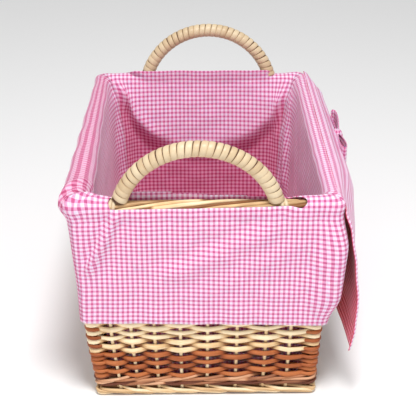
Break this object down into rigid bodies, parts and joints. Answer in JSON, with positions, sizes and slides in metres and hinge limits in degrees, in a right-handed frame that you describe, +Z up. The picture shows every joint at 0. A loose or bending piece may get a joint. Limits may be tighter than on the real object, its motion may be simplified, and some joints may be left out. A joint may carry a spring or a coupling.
{
  "type": "wicker picnic basket",
  "caption": "Open rectangular woven willow basket with a wrapped arch handle on each short end and a lift-out gingham cloth liner with cuffs, a side flap and a bow.",
  "frame": {"origin": "middle of the foot border's underside, on the surface that the basket stands on", "axes": "+Z up; Y along the long sides, with one handle at -Y and one at +Y; +X towards the long side with the cloth flap and the bow"},
  "size_m": [0.3326, 0.4382, 0.3449],
  "materials": {
    "natural_willow": "satin",
    "brown_willow": "satin",
    "cane_peel": "satin",
    "dark_core": "matte",
    "gingham": "matte"
  },
  "bodies": {
    "basket": {"foot_border": "natural_willow", "base_sticks": "natural_willow", "base_weave": "natural_willow", "corner_post_front_left": "brown_willow", "corner_post_front_right": "brown_willow", "corner_post_back_right": "brown_willow", "corner_post_back_left": "brown_willow", "stakes_front": "natural_willow", "stakes_right": "natural_willow", "stakes_back": "natural_willow", "stakes_left": "natural_willow", "lower_wale": "brown_willow", "upper_wale": "natural_willow", "brown_weave_front": "brown_willow", "brown_weave_right": "brown_willow", "brown_weave_back": "brown_willow", "brown_weave_left": "brown_willow", "natural_weave_front": "natural_willow", "natural_weave_right": "natural_willow", "natural_weave_back": "natural_willow", "natural_weave_left": "natural_willow", "rim_rods_outer": "natural_willow", "rim_rods_inner": "natural_willow", "rim_rods_top": "natural_willow", "handle_core_front": "dark_core", "handle_core_back": "dark_core", "handle_wrap_front": "cane_peel", "handle_wrap_back": "cane_peel", "handle_lashing_front": "cane_peel", "handle_lashing_back": "cane_peel"},
    "liner": {"liner_floor": "gingham", "liner_wall_front": "gingham", "liner_wall_right": "gingham", "liner_wall_back": "gingham", "liner_wall_left": "gingham", "rim_roll_front": "gingham", "rim_roll_right": "gingham", "rim_roll_back": "gingham", "rim_roll_left": "gingham", "slot_hem_front": "gingham", "slot_hem_back": "gingham", "cuff_front": "gingham", "cuff_back": "gingham", "cuff_left": "gingham", "cuff_return_front": "gingham", "cuff_return_back": "gingham"},
    "flap": {"side_flap": "gingham", "bow_knot": "gingham", "bow_loop_front": "gingham", "bow_loop_back": "gingham", "bow_tail_front": "gingham", "bow_tail_back": "gingham"}
  },
  "joints": [
    {"name": "liner_lift", "type": "slide", "parent": "basket", "child": "liner", "axis": [0, 0, 1], "range_m": [0, 0.335], "deforming": ["cuff_front", "cuff_back", "cuff_left", "cuff_return_front", "cuff_return_back", "slot_hem_front", "slot_hem_back"]},
    {"name": "flap_lift", "type": "hinge", "parent": "liner", "child": "flap", "pos_m": [0.1562, 0, 0.2625], "axis": [0, -1, 0], "range_deg": [0, 120]}
  ]
}
